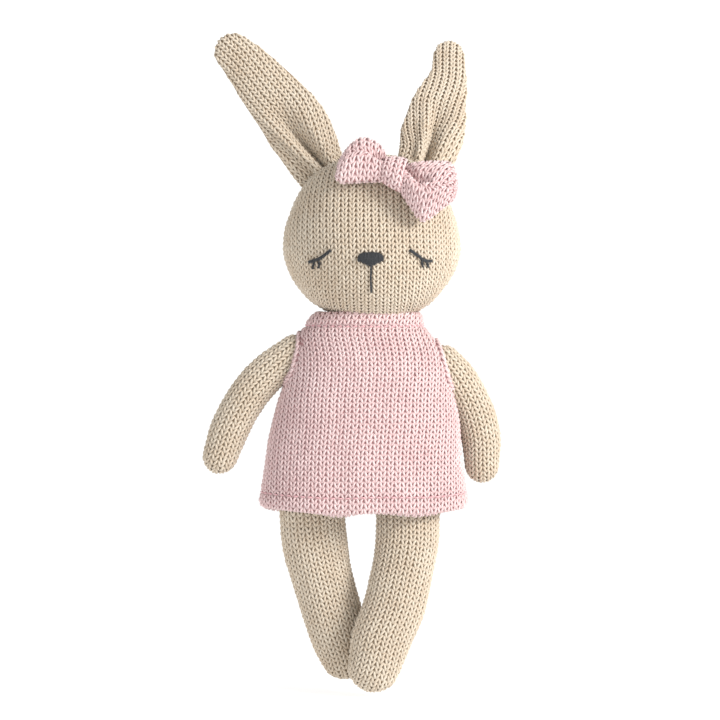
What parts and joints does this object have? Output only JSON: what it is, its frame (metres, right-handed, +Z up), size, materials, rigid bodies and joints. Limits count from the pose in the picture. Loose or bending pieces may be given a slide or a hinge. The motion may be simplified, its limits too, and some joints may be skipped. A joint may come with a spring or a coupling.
{
  "type": "stuffed bunny rabbit",
  "caption": "Knitted stuffed rabbit with jointed soft limbs and long ears, closed embroidered eyes, a sleeveless A-line knit dress and a knit bow.",
  "frame": {"origin": "middle of the bounding box, on the floor under the toes", "axes": "+Z up along the body, -Y the way the face looks, +X towards the toy's left hand"},
  "size_m": [0.1636, 0.0927, 0.3641],
  "materials": {
    "beige_knit": "matt stockinette knit",
    "pink_knit": "matt stockinette knit",
    "charcoal_thread": "satin stitch",
    "polyester_fill": "loose fibre",
    "beige_thread": "spun thread",
    "rose_thread": "spun thread"
  },
  "bodies": {
    "torso": {"torso_skin": "beige_knit", "torso_stuffing": "polyester_fill", "neck_thread": "beige_thread", "dress_bodice": "pink_knit", "dress_skirt": "pink_knit", "dress_collar": "pink_knit", "hem_thread": "rose_thread", "left_armhole_edge": "pink_knit", "right_armhole_edge": "pink_knit", "left_shoulder_seam": "beige_thread", "right_shoulder_seam": "beige_thread", "left_hip_seam": "beige_thread", "right_hip_seam": "beige_thread"},
    "head": {"head_skin": "beige_knit", "head_stuffing": "polyester_fill", "nose_embroidery": "charcoal_thread", "mouth_stitch": "charcoal_thread", "left_eyelid": "charcoal_thread", "right_eyelid": "charcoal_thread", "left_eyelashes": "charcoal_thread", "right_eyelashes": "charcoal_thread", "bow_ribbon": "pink_knit", "bow_band": "pink_knit", "bow_tack_thread": "rose_thread", "left_ear_seam": "beige_thread", "right_ear_seam": "beige_thread"},
    "left_ear": {"left_ear_skin": "beige_knit", "left_ear_wadding": "polyester_fill"},
    "right_ear": {"right_ear_skin": "beige_knit", "right_ear_wadding": "polyester_fill"},
    "left_arm": {"left_arm_skin": "beige_knit", "left_arm_stuffing": "polyester_fill"},
    "right_arm": {"right_arm_skin": "beige_knit", "right_arm_stuffing": "polyester_fill"},
    "hips": {"seat_gusset": "beige_knit"},
    "left_leg": {"left_leg_skin": "beige_knit", "left_leg_stuffing": "polyester_fill"},
    "right_leg": {"right_leg_skin": "beige_knit", "right_leg_stuffing": "polyester_fill"}
  },
  "joints": [
    {"name": "neck_turn", "type": "hinge", "parent": "torso", "child": "head", "pos_m": [0.0102, 0, 0.204], "axis": [0, 0, 1], "range_deg": [-35, 35]},
    {"name": "left_ear_flop", "type": "hinge", "parent": "head", "child": "left_ear", "pos_m": [0.0404, 0.006, 0.2956], "axis": [0.9848, 0, -0.1736], "range_deg": [-40, 18]},
    {"name": "right_ear_flop", "type": "hinge", "parent": "head", "child": "right_ear", "pos_m": [-0.0183, 0.001, 0.2924], "axis": [0.8387, 0, 0.5446], "range_deg": [-55, 70]},
    {"name": "left_arm_lift", "type": "hinge", "parent": "torso", "child": "left_arm", "pos_m": [0.051, 0, 0.1845], "axis": [0, -1, 0], "range_deg": [0, 80]},
    {"name": "right_arm_lift", "type": "hinge", "parent": "torso", "child": "right_arm", "pos_m": [-0.032, 0, 0.188], "axis": [0, 1, 0], "range_deg": [-6, 72]},
    {"name": "hips_bend", "type": "hinge", "parent": "torso", "child": "hips", "pos_m": [0.0042, 0, 0.108], "axis": [-1, 0, 0], "range_deg": [-12, 90], "deforming": ["dress_skirt", "hem_thread"]},
    {"name": "left_leg_spread", "type": "hinge", "parent": "hips", "child": "left_leg", "pos_m": [0.0314, 0, 0.108], "axis": [0, -1, 0], "range_deg": [0, 28]},
    {"name": "right_leg_spread", "type": "hinge", "parent": "hips", "child": "right_leg", "pos_m": [-0.023, 0, 0.108], "axis": [0, 1, 0], "range_deg": [0, 28]}
  ]
}
